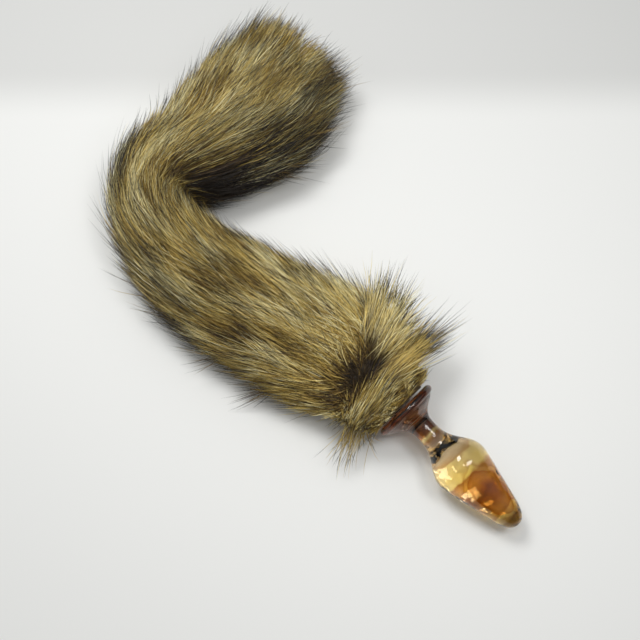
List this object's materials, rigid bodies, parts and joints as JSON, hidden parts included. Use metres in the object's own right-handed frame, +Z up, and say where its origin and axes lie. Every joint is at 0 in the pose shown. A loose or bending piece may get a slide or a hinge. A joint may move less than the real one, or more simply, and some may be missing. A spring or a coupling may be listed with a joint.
{
  "type": "costume animal tail",
  "caption": "Long-haired faux-fur animal tail with a hollow sewn backing, lying in one bend and mounted on a flanged, tapered glass plug",
  "frame": {"origin": "On the table, under the middle of the outline's box as the tail lies", "axes": "+Z up from the table, the shortest side; +Y the longest side, towards the far end of the bend; +X to the right, the side the brush end and the plug's nose point to"},
  "size_m": [0.249, 0.3266, 0.0503],
  "materials": {
    "fur": "long faux fur, olive and tan over grey-brown underfur, dark tips",
    "amber_glass": "clear amber glass, polished",
    "plastic": "plain, hidden"
  },
  "bodies": {
    "root": {"fur_tail": "fur", "glass_plug": "amber_glass", "tail_post": "plastic"}
  },
  "joints": []
}
